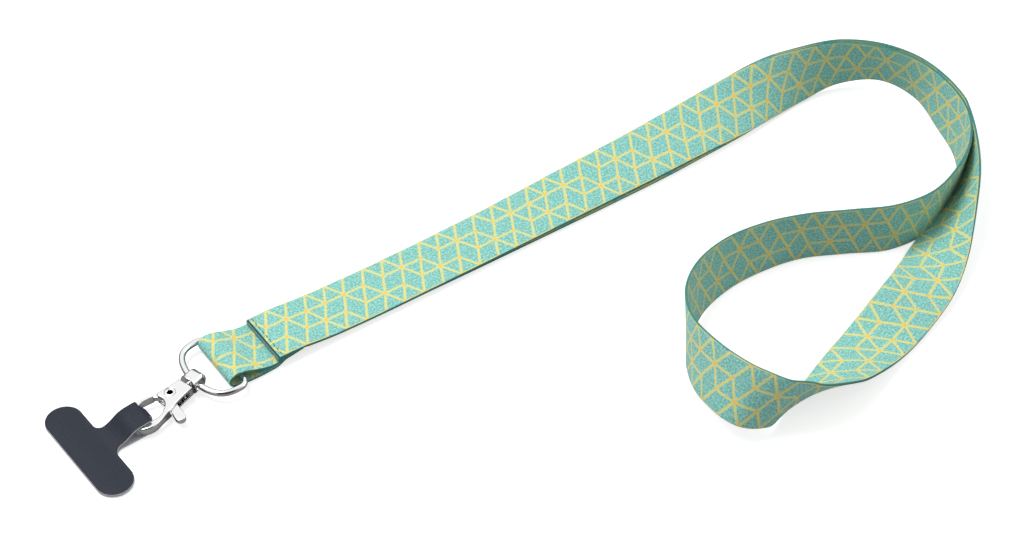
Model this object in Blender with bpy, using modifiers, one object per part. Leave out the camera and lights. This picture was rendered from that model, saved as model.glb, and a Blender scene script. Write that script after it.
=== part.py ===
"""Printed neck lanyard with a D-ring, a swivel trigger hook and a T-shaped phone tether tab.

Lengths are millimetres, turned into metres by MM. The strap's straight run lies along +X, the hook
and the tab point towards -X, and the object lies on the plane Z = 0.
"""

from math import cos, pi, radians, sin

import bmesh
import bpy
import numpy as np
from mathutils import Matrix, Vector

MM = 0.001

# Where the strap's own zero (the middle of the sewn hem's edge) lies in the part's frame.
HEM_AT = (-87.58, 55.70)

# Webbing
WIDTH = 20.0
THICK = 0.9
STEP = 4.0
# Centre line of the webbing from the hem, along the upper ply and round the neck loop to the point
# where it slips behind itself: x, y, roll about the direction of travel in degrees (0 lies flat,
# 90 stands on edge) and the lift of its lower edge above the table.
ROUTE = (
    (0, -0.6, 0, 3.4),
    (9, -0.6, 0, 3.3),
    (18, -0.6, 1, 2.3),
    (29, -0.6, 1, 1.7),
    (58, -0.6, 1, 1.6),
    (88, -0.3, 3, 1.6),
    (117, 0, 8, 1.7),
    (146, 0, 14, 1.9),
    (165, 0, 20, 2.2),
    (184, -0.2, 34, 1.5),
    (199, -0.5, 53, 0.6),
    (212.5, -2.5, 75, 0.5),
    (226, -7, 96, 2.5),
    (236, -16.5, 108, 4.5),
    (241, -30, 102, 4),
    (240, -44.5, 88, 2.5),
    (236, -58, 85, 1),
    (226.6, -69, 79, 0.2),
    (213.4, -75.7, 72, 0.1),
    (200.9, -79.6, 76, 0),
    (187.3, -78.2, 84, 0),
    (174, -71.5, 87, 0),
    (161, -65, 88, 0),
    (147, -61.5, 94, 0),
    (132.5, -61, 99, 0),
    (119, -65, 100, 0.8),
    (107, -74, 97, 2.4),
    (99, -85.5, 86, 4.6),
    (96, -99.5, 70, 6.8),
    (99, -112.5, 67, 6.3),
    (106.5, -117.5, 93, 2.5),
    (115, -117.5, 117, 0.2),
    (124, -116.3, 137, 0),
    (133, -114.2, 154, 0.1),
    (142, -111.5, 166, 0.4),
    (155.5, -107.5, 180, 1.3),
    (169, -103.8, 192, 1.2),
    (181, -99.4, 188, 2.6),
    (193, -92.8, 168, 1.6),
    (205, -85.6, 143, 0),
    (216.5, -78.8, 121, 0),
    (227.4, -72.4, 101, 0),
)
# From the far curve back to the hem the webbing returns just beneath its own upper ply.
PLY_PITCH = 1.3
RETURN_FROM = 292.0
LOWER_SAG = 0.3
LOWER_SLIP = 0.6
LOWER_END = 10.5
STRAIGHT_END = 190.0
# The webbing is one long strip. It is cut here into lengths that bend little, named along its way.
LENGTHS = (
    ("webbing_upper_run", 0, 190),
    ("webbing_upper_curve", 190, 298),
    ("webbing_far_side", 298, 402),
    ("webbing_left_bend", 402, 492),
    ("webbing_near_side", 492, 612),
    ("webbing_lower_curve", 612, 735),
    ("webbing_lower_run", 735, 1200),
)
CUT_GAP = 0.1

# Sewn end: the loop round the D-ring in side view, X against Z, from its tail under the hem
RING_LOOP = (
    (9.5, 1.65),
    (3, 1.65),
    (-3, 2.1),
    (-8, 3.6),
    (-12, 5.1),
    (-14.6, 5.35),
    (-16.5, 4.2),
    (-16.5, 2.3),
    (-14.8, 0.87),
    (-11.2, 0.52),
    (-4, 0.5),
    (6, 0.5),
    (15.6, 0.48),
)
LOOP_Y = -0.6
FLAP_LENGTH = 9.0
FLAP_HEIGHT = 2.75
STITCH_INSET = 1.8
STITCH_LENGTH = 1.7
STITCH_PITCH = 2.1
STITCH_SPAN = 17.5
STITCH_GAP = 0.06
THREAD = 0.2

# D-ring: wire radius, half width and depth between wire centres, and its turn in the webbing loop
RING_WIRE = 1.0
RING_HALF = 12.1
RING_DEPTH = 12.1
RING_CORNER = 2.6
EYE_SLACK = 0.3
RING_BAR = (-13.3, -1.4, 3.3)
RING_YAW = 4.0

# Swivel eye and hook: distances along the hook's axis are counted from the eye's centre
EYE_ON_BOW = -1.0
EYE_RISE = 0.2
EYE_OUTER = 2.8
EYE_HOLE = 1.7
EYE_FLARE = 2.2
EYE_HALF = 2.9
BASE_RADIUS = 3.3
BASE = (1.9, 2.7)
POST_RADIUS = 1.1
POST_HEAD = (1.5, 5.3, 6.1)
HOOK_YAW = 17.0
HOOK_PITCH = 2.5
HOOK_HALF = 1.95
BOW_HALF = 1.5
TAPER = (13.0, 18.0)
RIM_SOFT = 0.25
COLLAR_RADIUS = 3.3
COLLAR = (3.0, 3.8)
SLOT = (5.0, 14.2)
SLOT_HALF = 1.05
HEAD_ROOM = (1.65, 4.8, 6.6)
BORE_RADIUS = 1.25
RIVET_AT = (9.0, -1.2)
RIVET_SHANK = 1.2
RIVET_HEAD = 1.65
RIVET_HEAD_THICK = 0.3
RIVET_BORE = 0.9
BOW_AT = (20.0, -1.4)
BOW_OUTER = 5.6
BOW_INNER = 3.4
NOSE_SPLIT = 4.6
NOSE_FULL = 170.0
NOSE_END = 186.0

# Gate, its thumb paddle and its spring
GATE_HALF = 1.4
LEVER_HALF = 0.9
HUB_RADIUS = 2.6
HUB_HOLE = 1.32
POCKET_RADIUS = 2.15
POCKET_FLOOR = 0.05
SPRING_RADIUS = 1.72
SPRING_WIRE = 0.13
SPRING_LOW = 0.27
SPRING_PITCH = 0.32
SPRING_TURNS = 1.5
SPRING_LEG = 2.4

# Tether tab: one sheet folded over the bow of the hook, its two T bars bonded face to face
SHEET = 0.5
BAR_LENGTH = 40.5
BAR_WIDTH = 11.4
STEM_WIDTH = 9.6
STEM_FILLET = 2.6
TAB_AT = (-57.4, -7.8)
TAB_YAW = 3.0
FOLD_REACH = 14.9
LAYER_LOW = 0.27
LAYER_BAR = 0.95
LAYER_TOP = 5.0
SHOULDER = 7.8
NOTCH_GATE = 3.5
NOTCH_SPINE = 2.8
NOTCH_HALF = 3.2
FILM = (0.55, 0.67)

COLOURS = {
    "webbing": ((0.16, 0.62, 0.55, 1), 0.85, 0.0),
    "thread": ((0.72, 0.66, 0.2, 1), 0.7, 0.0),
    "chrome": ((0.8, 0.8, 0.82, 1), 0.12, 1.0),
    "spring": ((0.45, 0.45, 0.46, 1), 0.3, 1.0),
    "tab": ((0.03, 0.033, 0.045, 1), 0.7, 0.0),
    "film": ((0.7, 0.7, 0.68, 1), 0.4, 0.0),
}

for old in list(bpy.data.objects):
    bpy.data.objects.remove(old, do_unlink=True)
PARTS = bpy.data.collections.new("lanyard")
CUTTERS = bpy.data.collections.new("lanyard_cutters")
bpy.context.scene.collection.children.link(PARTS)
bpy.context.scene.collection.children.link(CUTTERS)


# ------------------------------------------------------------------ shared helpers


def material(name, kind):
    colour, roughness, metallic = COLOURS[kind]
    made = bpy.data.materials.new(name)
    made.use_nodes = True
    shader = made.node_tree.nodes["Principled BSDF"]
    shader.inputs["Base Color"].default_value = colour
    shader.inputs["Roughness"].default_value = roughness
    shader.inputs["Metallic"].default_value = metallic
    return made


def place(name, mesh, kind, matrix=None):
    """A named part in the part's collection, with its own material."""
    mesh.name = name
    made = bpy.data.objects.new(name, mesh)
    made.data.materials.clear()
    made.data.materials.append(material(name, kind))
    PARTS.objects.link(made)
    made.matrix_world = matrix or Matrix.Identity(4)
    made.data.shade_smooth()
    made.data.set_sharp_from_angle(angle=radians(35))
    return made


def pivot(name, frame, *pieces):
    """An empty on a joint's axis, the parent of the pieces that turn about it."""
    empty = bpy.data.objects.new(name, None)
    PARTS.objects.link(empty)
    empty.matrix_world = frame
    for piece in pieces:
        piece.parent = empty
        piece.matrix_parent_inverse = frame.inverted()


def boolean(target, name, mesh, operation="DIFFERENCE"):
    """Cut a shape out of a part, or join it on. The shape is given in the part's own axes."""
    tool = bpy.data.objects.new(name, mesh)
    CUTTERS.objects.link(tool)
    tool.matrix_world = target.matrix_world
    tool.hide_render = True
    tool.display_type = "WIRE"
    step = target.modifiers.new(name, "BOOLEAN")
    step.operation = operation
    step.solver = "EXACT"
    step.object = tool


def to_mesh(body):
    mesh = bpy.data.meshes.new("shape")
    body.to_mesh(mesh)
    body.free()
    return mesh


def curve_mesh(curve):
    """The mesh of a curve, its caps joined to its walls."""
    holder = bpy.data.objects.new("holder", curve)
    bpy.context.scene.collection.objects.link(holder)
    bpy.context.view_layer.update()
    shape = holder.evaluated_get(bpy.context.evaluated_depsgraph_get())
    mesh = bpy.data.meshes.new_from_object(shape)
    bpy.data.objects.remove(holder)
    body = bmesh.new()
    body.from_mesh(mesh)
    bmesh.ops.remove_doubles(body, verts=body.verts, dist=0.002 * MM)
    bmesh.ops.recalc_face_normals(body, faces=body.faces)
    body.to_mesh(mesh)
    body.free()
    return mesh


def add_spline(curve, points, cyclic):
    spline = curve.splines.new("POLY")
    spline.points.add(len(points) - 1)
    for point, (x, y, z, *thick) in zip(spline.points, points):
        point.co = (x * MM, y * MM, z * MM, 1)
        point.radius = thick[0] if thick else 1.0
    spline.use_cyclic_u = cyclic


def plate(points, half, soften=0.0):
    """A flat outline as a solid, half its thickness to each side of local Z = 0, its rims softened."""
    curve = bpy.data.curves.new("outline", "CURVE")
    curve.dimensions = "2D"
    curve.fill_mode = "BOTH"
    curve.extrude = (half - soften) * MM
    curve.bevel_depth = soften * MM
    curve.bevel_resolution = 1
    curve.offset = -soften * MM
    add_spline(curve, [(u, v, 0) for u, v in points], True)
    return curve_mesh(curve)


def wire(points, radius, cyclic=False, sides=3):
    curve = bpy.data.curves.new("wire", "CURVE")
    curve.dimensions = "3D"
    curve.bevel_depth = radius * MM
    curve.bevel_resolution = sides
    curve.use_fill_caps = not cyclic
    add_spline(curve, points, cyclic)
    return curve_mesh(curve)


def rod(radius, start, end, axis="X", top=None, at=(0, 0, 0), sides=36):
    """A round bar or cone along a local axis."""
    body = bmesh.new()
    bmesh.ops.create_cone(
        body,
        cap_ends=True,
        segments=sides,
        radius1=radius * MM,
        radius2=(radius if top is None else top) * MM,
        depth=(end - start) * MM,
    )
    bmesh.ops.translate(body, vec=(0, 0, (start + end) / 2 * MM), verts=body.verts)
    turns = {
        "X": Matrix.Rotation(pi / 2, 4, "Y"),
        "Y": Matrix.Rotation(-pi / 2, 4, "X"),
        "Z": Matrix.Identity(4),
    }
    move = Matrix.Translation(Vector(at) * MM) @ turns[axis]
    bmesh.ops.transform(body, matrix=move, verts=body.verts)
    return to_mesh(body)


def box(low, high):
    body = bmesh.new()
    bmesh.ops.create_cube(body, size=1.0)
    bmesh.ops.scale(body, vec=[(b - a) * MM for a, b in zip(low, high)], verts=body.verts)
    bmesh.ops.translate(body, vec=[(a + b) / 2 * MM for a, b in zip(low, high)], verts=body.verts)
    return to_mesh(body)


def arc(centre, radius, start, end, steps):
    """Points on a circle, the angle in degrees counted from local +Y towards +X."""
    angles = [radians(start + (end - start) * k / steps) for k in range(steps + 1)]
    return [(centre[0] + radius * sin(a), centre[1] + radius * cos(a)) for a in angles]


def hem_frame(x, y, z):
    return Matrix.Translation(Vector((x + HEM_AT[0], y + HEM_AT[1], z)) * MM)


def resample(rows, step):
    """Rows whose first three numbers are a path, read off a smooth curve at an even step."""
    rows = np.array(rows, float)
    along = np.concatenate([[0], np.cumsum(np.linalg.norm(np.diff(rows[:, :3], axis=0), axis=1))])
    slope = np.gradient(rows, along, axis=0)
    made = []
    for s in np.linspace(0, along[-1], round(along[-1] / step) + 1):
        k = min(int(np.searchsorted(along, s, side="right")) - 1, len(along) - 2)
        h = along[k + 1] - along[k]
        t = (s - along[k]) / h
        ends = (2 * t**3 - 3 * t**2 + 1) * rows[k] + (3 * t**2 - 2 * t**3) * rows[k + 1]
        slopes = (t**3 - 2 * t**2 + t) * slope[k] + (t**3 - t**2) * slope[k + 1]
        made.append(ends + h * slopes)
    return np.array(made)


# ------------------------------------------------------------------ webbing


def unit(vectors):
    return vectors / np.linalg.norm(vectors, axis=1)[:, None]


def upper_stations():
    """Stations from the hem to the end of ROUTE: centre, direction across and upper normal."""
    rows = []
    for x, y, roll, lift in ROUTE:
        turn = radians(roll)
        height = lift + WIDTH / 2 * abs(sin(turn)) + THICK / 2 * abs(cos(turn))
        rows.append((x, y, height, roll))
    path = resample(rows, STEP)
    centre = path[:, :3]
    ahead = unit(np.gradient(centre, axis=0))
    side = unit(np.cross((0, 0, 1), ahead))
    turn = np.radians(path[:, 3])[:, None]
    across = np.cos(turn) * side + np.sin(turn) * np.cross(ahead, side)
    return centre, across, np.cross(ahead, across)


def webbing_path():
    """Stations of the whole webbing, hem to hem: centre and direction across."""
    centre, across, normal = upper_stations()
    rows = [(*c, *w) for c, w in zip(centre, across)]
    last = min(round(RETURN_FROM / STEP), len(centre) - 1)
    for k in range(last, -1, -1):
        if centre[k][0] < LOWER_END:
            break
        share = 0.0
        if k * STEP < STRAIGHT_END:
            share = sin(pi * k * STEP / STRAIGHT_END)
        drop = (PLY_PITCH + LOWER_SAG * share) * normal[k]
        rows.append((*(centre[k] - drop - LOWER_SLIP * share * across[k]), *across[k]))
    path = np.array(rows)
    centre, across = path[:, :3], unit(path[:, 3:])
    upright = np.abs(across[:, 2])
    lowest = WIDTH / 2 * upright + THICK / 2 * np.sqrt(1 - upright**2)
    centre[:, 2] = np.maximum(centre[:, 2], lowest + 0.02)
    return centre, across


def strip(name, centre, across):
    """Webbing along a centre line: an open strip of three rails, thickened to both sides."""
    body = bmesh.new()
    shift = np.array((HEM_AT[0], HEM_AT[1], 0))
    edges = []
    for share in (-0.5, 0, 0.5):
        rail = (centre + shift + share * WIDTH * across) * MM
        edges.append([body.verts.new(point) for point in rail])
    for first, second in zip(edges, edges[1:]):
        for k in range(len(centre) - 1):
            body.faces.new((first[k], first[k + 1], second[k + 1], second[k]))
    made = place(name, to_mesh(body), "webbing")
    thicken = made.modifiers.new("thickness", "SOLIDIFY")
    thicken.thickness = THICK * MM
    thicken.offset = 0.0


def make_webbing():
    centre, across = webbing_path()
    along = np.concatenate([[0], np.cumsum(np.linalg.norm(np.diff(centre, axis=0), axis=1))])
    for name, start, end in LENGTHS:
        a = int(np.argmin(np.abs(along - start)))
        b = int(np.argmin(np.abs(along - end)))
        middle = centre[a : b + 1].copy()
        for tip, inner in ((0, 1), (-1, -2)):
            middle[tip] += (middle[inner] - middle[tip]) * CUT_GAP / STEP
        strip(name, middle, across[a : b + 1])


def make_sewn_end():
    loop = resample([(x, LOOP_Y, z) for x, z in RING_LOOP], 1.2)
    strip("webbing_ring_loop", loop, np.tile((0.0, 1.0, 0.0), (len(loop), 1)))
    flap = np.array([(0.1, LOOP_Y, FLAP_HEIGHT), (FLAP_LENGTH, LOOP_Y, FLAP_HEIGHT)])
    strip("webbing_hem_flap", flap, np.tile((0.0, 1.0, 0.0), (2, 1)))
    x, y, roll, lift = ROUTE[0]
    height = lift + WIDTH / 2 * sin(radians(roll)) + THICK / 2
    turn = hem_frame(STITCH_INSET, y, height) @ Matrix.Rotation(radians(roll), 4, "X")
    above = THICK / 2 + STITCH_GAP + THREAD
    count = int(STITCH_SPAN / STITCH_PITCH)
    points = []
    for k in range(count):
        middle = (k - (count - 1) / 2) * STITCH_PITCH
        for way, thick in ((-0.5, 0.4), (-0.36, 1.0), (0.36, 1.0), (0.5, 0.4)):
            at = middle + way * STITCH_LENGTH
            points.append((0, at, above, thick))
    place("hem_stitching", wire(points, THREAD, sides=1), "thread", turn)


# ------------------------------------------------------------------ D-ring


def ring_outline(turn):
    """The ring's wire centre in its own plane: local X out to the bow, local Y along the bar."""
    x = RING_CORNER + (RING_DEPTH - RING_CORNER) * abs(cos(turn)) ** 0.65
    return x, RING_HALF * sin(turn)


def make_d_ring():
    corner = RING_HALF - RING_CORNER
    points = [(0, corner * k / 4) for k in range(-4, 5)]
    points += [(RING_CORNER - RING_CORNER * cos(a), corner + RING_CORNER * sin(a)) for a in (0.4, 0.8, 1.2)]
    points += [ring_outline(pi / 2 - pi * k / 32) for k in range(33)]
    points += [(RING_CORNER - RING_CORNER * cos(a), -corner - RING_CORNER * sin(a)) for a in (1.2, 0.8, 0.4)]
    place("d_ring", wire([(x, y, 0) for x, y in points], RING_WIRE, cyclic=True), "chrome", ring_frame())


def ring_frame():
    return hem_frame(*RING_BAR) @ Matrix.Rotation(pi + radians(RING_YAW), 4, "Z")


def hook_frame():
    """Origin at the eye's centre, local X along the hook, local Y to the spine's side."""
    at = ring_frame() @ (Vector((RING_DEPTH - EYE_SLACK, -EYE_ON_BOW, EYE_RISE)) * MM)
    turn = Matrix.Rotation(pi + radians(HOOK_YAW), 4, "Z") @ Matrix.Rotation(radians(HOOK_PITCH), 4, "Y")
    return Matrix.Translation(at) @ turn


# ------------------------------------------------------------------ swivel eye and hook


def make_swivel_eye():
    """A pierced head on a round base, its post headed over inside the hook."""
    frame = hook_frame()
    eye = place("swivel_eye", rod(EYE_OUTER, -EYE_HALF, EYE_HALF, "Y"), "chrome", frame)
    neck = box((0, -EYE_HALF, -EYE_OUTER), (BASE[0] + 0.1, EYE_HALF, EYE_OUTER))
    boolean(eye, "eye_neck", neck, "UNION")
    boolean(eye, "eye_round", rod(BASE_RADIUS - 0.1, -4, BASE[0] + 0.1), "INTERSECT")
    boolean(eye, "eye_base", rod(BASE_RADIUS, BASE[0], BASE[1]), "UNION")
    boolean(eye, "eye_post", rod(POST_RADIUS, BASE[1] - 0.1, POST_HEAD[1] + 0.1, sides=24), "UNION")
    boolean(eye, "eye_post_head", rod(POST_HEAD[0], POST_HEAD[1], POST_HEAD[2], sides=24), "UNION")
    boolean(eye, "eye_hole", rod(EYE_HOLE, -4, 4, "Y", sides=24))
    for side in (-1, 1):
        flare = rod(1.0, 0, 2.2, "Y", top=EYE_FLARE, at=(0, 1.0, 0), sides=24)
        if side < 0:
            flare.transform(Matrix.Rotation(pi, 4, "X"))
        boolean(eye, "eye_flare", flare)


def hook_plan():
    """The hook seen from above: flat body, spine on local +Y, round bow and nose."""
    plan = [(3.4, -2.3), (8.7, -3.55)]
    plan += arc((11.1, -3.05), 1.15, 195, 90, 6)
    plan += [(12.05, -1.3), (12.5, -0.1), (13.3, 0.95), (14.7, 1.85), (17.2, 2.6)]
    plan += arc(BOW_AT, BOW_INNER, -8, NOSE_FULL, 22)
    plan += arc(BOW_AT, NOSE_SPLIT, NOSE_FULL, NOSE_END, 3)
    plan += arc(BOW_AT, BOW_OUTER, NOSE_END, -4, 26)
    plan += [(17.1, 3.95), (13.7, 3.55), (9.2, 2.95), (3.4, 2.35)]
    return plan


def hook_half(u):
    share = min(max((u - TAPER[0]) / (TAPER[1] - TAPER[0]), 0), 1)
    return HOOK_HALF + (BOW_HALF - HOOK_HALF) * share


def make_hook_body():
    mesh = plate(hook_plan(), HOOK_HALF, RIM_SOFT)
    for vertex in mesh.vertices:
        vertex.co.z *= hook_half(vertex.co.x / MM) / HOOK_HALF
    hook = place("hook_body", mesh, "chrome", hook_frame())
    boolean(hook, "hook_collar", rod(COLLAR_RADIUS, COLLAR[0], COLLAR[1]), "UNION")
    boolean(hook, "hook_neck", rod(2.9, COLLAR[1] - 0.1, 5.0, top=1.9), "UNION")
    boolean(hook, "hook_slot", box((SLOT[0], -6, -SLOT_HALF), (SLOT[1], 6, SLOT_HALF)))
    boolean(hook, "hook_head_room", rod(HEAD_ROOM[0], HEAD_ROOM[1], HEAD_ROOM[2], sides=24))
    boolean(hook, "hook_bore", rod(BORE_RADIUS, 2, HEAD_ROOM[1] + 0.2, sides=24))
    at = (*RIVET_AT, 0)
    boolean(hook, "hook_rivet_hole", rod(RIVET_SHANK + 0.1, -4, 4, "Z", at=at, sides=28))
    depth = HOOK_HALF - RIVET_HEAD_THICK - 0.1
    boolean(hook, "hook_sink_top", rod(RIVET_HEAD + 0.12, depth, 4, "Z", at=at, sides=28))
    boolean(hook, "hook_sink_low", rod(RIVET_HEAD + 0.12, -4, -depth, "Z", at=at, sides=28))


def make_rivet():
    """A tubular rivet: a turned tube with a flat head at both ends."""
    top = HOOK_HALF
    under = top - RIVET_HEAD_THICK
    profile = [
        (RIVET_BORE, top),
        (RIVET_HEAD, top),
        (RIVET_HEAD, under),
        (RIVET_SHANK, under),
        (RIVET_SHANK, -under),
        (RIVET_HEAD, -under),
        (RIVET_HEAD, -top),
        (RIVET_BORE, -top),
    ]
    body = bmesh.new()
    rim = [body.verts.new((r * MM, 0, z * MM)) for r, z in profile]
    for k, vertex in enumerate(rim):
        body.edges.new((vertex, rim[(k + 1) % len(rim)]))
    frame = hook_frame() @ Matrix.Translation(Vector((*RIVET_AT, 0)) * MM)
    rivet = place("gate_rivet", to_mesh(body), "chrome", frame)
    turn = rivet.modifiers.new("turned", "SCREW")
    turn.steps = 28
    turn.render_steps = 28
    turn.use_merge_vertices = True
    turn.merge_threshold = 0.00001


# ------------------------------------------------------------------ gate


def gate_arm_plan():
    """The gate's strip from the hook's shoulder to its tongue behind the nose."""
    plan = [(12.75, -5.3), (16.0, -6.5), (18.2, -7.0)]
    plan += arc(BOW_AT, BOW_OUTER - 0.05, 196, NOSE_END + 3, 1)
    plan += arc(BOW_AT, NOSE_SPLIT - 0.25, NOSE_END + 3, NOSE_FULL + 8, 3)
    plan += arc(BOW_AT, BOW_INNER + 0.05, NOSE_FULL + 8, 194, 3)
    plan += [(17.0, -5.75), (14.6, -4.95), (12.75, -4.2)]
    return plan


def lever_plan():
    """The lever in the hook's slot: hub, root of the arm and the slanted thumb paddle."""
    plan = arc(RIVET_AT, HUB_RADIUS, 300, 195, 8)
    plan += [(10.6, -4.35), (12.9, -5.33), (13.2, -4.5), (12.1, -3.2)]
    plan += arc(RIVET_AT, HUB_RADIUS, 110, 75, 2)
    plan += [(13.6, 3.0), (13.9, 4.4), (14.9, 6.6)]
    plan += arc((13.35, 7.15), 1.65, 75, -75, 8)
    plan += [(10.9, 4.4), (10.4, 3.0), (8.6, 1.3)]
    return plan


def make_gate():
    frame = hook_frame()
    gate = place("gate_lever", plate(lever_plan(), LEVER_HALF, 0.12), "chrome", frame)
    boolean(gate, "gate_arm", plate(gate_arm_plan(), GATE_HALF, 0.1), "UNION")
    at = (*RIVET_AT, 0)
    boolean(gate, "gate_hub_hole", rod(HUB_HOLE, -4, 4, "Z", at=at, sides=28))
    boolean(gate, "gate_pocket", rod(POCKET_RADIUS, POCKET_FLOOR, 4, "Z", at=at, sides=28))
    x, y = RIVET_AT
    for side in (-1, 1):
        leg = y + side * SPRING_RADIUS
        boolean(gate, "gate_leg_way", box((x - 4, leg - 0.35, POCKET_FLOOR), (x, leg + 0.35, 4)))
    pivot("gate_pivot", frame @ Matrix.Translation(Vector(at) * MM), gate)


def make_gate_spring():
    """A small torsion spring round the rivet, in the lever's pocket, with two straight legs."""
    x, y = RIVET_AT
    steps = int(SPRING_TURNS * 16)
    start = (x - SPRING_LEG, y - SPRING_RADIUS, SPRING_LOW)
    points = [start]
    for k in range(steps + 1):
        turn = 2 * pi * SPRING_TURNS * k / steps
        height = SPRING_LOW + SPRING_PITCH * turn / (2 * pi)
        points.append((x + SPRING_RADIUS * sin(turn), y - SPRING_RADIUS * cos(turn), height))
    points.append((points[-1][0] - SPRING_LEG, points[-1][1], points[-1][2]))
    place("gate_spring", wire(points, SPRING_WIRE, sides=1), "spring", hook_frame())


# ------------------------------------------------------------------ tether tab


def relief(side, depth):
    """A half-round relief in one edge of the stem, where the sheet folds inside the hook."""
    half = STEM_WIDTH / 2
    angles = [pi * (k / 12 - 0.5) for k in range(13)]
    return [(FOLD_AT + NOTCH_HALF * sin(a), side * (half - depth * cos(a))) for a in angles]


def sheet_outline():
    """The flat sheet: two T shapes whose stems meet, its length along X with the fold near 0."""
    centre = FOLD_LENGTH + BAR_WIDTH / 2
    reach = (BAR_LENGTH - BAR_WIDTH) / 2
    upper = arc((FOLD_LENGTH - STEM_FILLET, STEM_WIDTH / 2 + STEM_FILLET), STEM_FILLET, 180, 90, 5)
    upper += arc((centre, reach), BAR_WIDTH / 2, -90, 90, 14)
    right = upper + [(p, -y) for p, y in upper[::-1]]
    left = [(-p, y) for p, y in right[::-1]]
    return right + relief(-1, NOTCH_SPINE)[::-1] + left + relief(1, NOTCH_GATE)


def side_view(p):
    """Where the sheet's length p lies seen from the side: reach from the bar, and height."""
    way = PATH[:, 0]
    return float(np.interp(p, way, PATH[:, 1])), float(np.interp(p, way, PATH[:, 2]))


def fold_path():
    """The sheet's centre line in side view, from the upper bar over the fold to the lower bar."""
    radius = (LAYER_TOP - LAYER_LOW) / 2
    turn_x = FOLD_REACH - radius - SHEET / 2
    far = -BAR_WIDTH - 1
    upper = resample(
        [
            (far, LAYER_BAR, 0),
            (-3, LAYER_BAR, 0),
            (-0.6, LAYER_BAR + 0.05, 0),
            (3.6, (LAYER_BAR + LAYER_TOP) / 2 - 0.85, 0),
            (SHOULDER, LAYER_TOP - 0.6, 0),
            (turn_x, LAYER_TOP, 0),
        ],
        0.3,
    )[:, :2]
    middle = (turn_x, (LAYER_TOP + LAYER_LOW) / 2)
    bend = np.array(arc(middle, radius, 0, 180, 14))[1:]
    points = np.vstack([upper, bend, [(far, LAYER_LOW)]])
    way = np.concatenate([[0], np.cumsum(np.linalg.norm(np.diff(points, axis=0), axis=1))])
    upper_bar = np.interp(0, points[: len(upper), 0], way[: len(upper)])
    lower_bar = way[-1] + far
    middle_way = (upper_bar + lower_bar) / 2
    apex = np.interp(len(upper) + 6, range(len(way)), middle_way - way)
    return np.column_stack([middle_way - way, points])[::-1], middle_way - upper_bar, float(apex)


def make_tab():
    body = bmesh.new()
    flat = bpy.data.curves.new("sheet", "CURVE")
    flat.dimensions = "2D"
    flat.fill_mode = "BOTH"
    add_spline(flat, [(p, y, 0) for p, y in sheet_outline()], True)
    body.from_mesh(curve_mesh(flat))
    for k in range(-10, 41):
        cut = k * 0.55 * MM
        everything = body.verts[:] + body.edges[:] + body.faces[:]
        bmesh.ops.bisect_plane(body, geom=everything, plane_co=(cut, 0, 0), plane_no=(1, 0, 0), dist=1e-7)
    for vertex in body.verts:
        x, z = side_view(vertex.co.x / MM)
        vertex.co.x = x * MM
        vertex.co.z = z * MM
    bmesh.ops.triangulate(body, faces=body.faces)
    bmesh.ops.recalc_face_normals(body, faces=body.faces)
    tab = place("tether_tab", to_mesh(body), "tab", tab_frame())
    thicken = tab.modifiers.new("thickness", "SOLIDIFY")
    thicken.thickness = SHEET * MM
    thicken.offset = 0.0
    end = BAR_WIDTH / 2 - 1.0
    reach = BAR_LENGTH / 2 - BAR_WIDTH / 2
    film = arc((-BAR_WIDTH / 2, reach), end, -90, 90, 10)
    film += [(u, -v) for u, v in film[::-1]]
    layer = tab_frame() @ Matrix.Translation((0, 0, (FILM[0] + FILM[1]) / 2 * MM))
    bond = place("tab_bond_film", plate(film, (FILM[1] - FILM[0]) / 2), "film", layer)
    pivot("tab_pivot", hook_frame() @ Matrix.Translation(Vector((*BOW_AT, 0)) * MM), tab, bond)


def tab_frame():
    """Origin at the middle of the bar's inner edge, local X towards the fold."""
    return hem_frame(*TAB_AT, 0) @ Matrix.Rotation(radians(TAB_YAW), 4, "Z")


PATH, FOLD_LENGTH, FOLD_AT = fold_path()

make_webbing()
make_sewn_end()
make_d_ring()
make_swivel_eye()
make_hook_body()
make_rivet()
make_gate()
make_gate_spring()
make_tab()
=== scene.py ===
"""Looks of the printed neck lanyard: webbing, chromed hardware and the folded tether tab.

Lengths are millimetres, turned into metres by MM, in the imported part's own frame.
"""

from math import cos, pi, radians, sin

import bmesh
import bpy
import numpy as np
from mathutils import Matrix, Vector


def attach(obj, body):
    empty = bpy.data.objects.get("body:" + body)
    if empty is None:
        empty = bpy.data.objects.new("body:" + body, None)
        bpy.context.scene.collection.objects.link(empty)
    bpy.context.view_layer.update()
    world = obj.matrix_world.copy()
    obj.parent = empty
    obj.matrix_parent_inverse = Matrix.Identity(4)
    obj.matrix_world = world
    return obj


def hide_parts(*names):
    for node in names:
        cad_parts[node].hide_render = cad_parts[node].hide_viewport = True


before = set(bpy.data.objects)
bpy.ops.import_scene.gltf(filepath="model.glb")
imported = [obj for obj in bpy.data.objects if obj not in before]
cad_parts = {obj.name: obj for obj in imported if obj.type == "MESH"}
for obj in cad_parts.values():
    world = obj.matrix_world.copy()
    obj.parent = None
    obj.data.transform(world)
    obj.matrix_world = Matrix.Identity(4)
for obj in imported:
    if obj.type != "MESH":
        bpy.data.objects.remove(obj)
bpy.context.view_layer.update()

MM = 0.001
ROUND_SIDES = 96
HEM_AT = (-87.58, 55.70)

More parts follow.
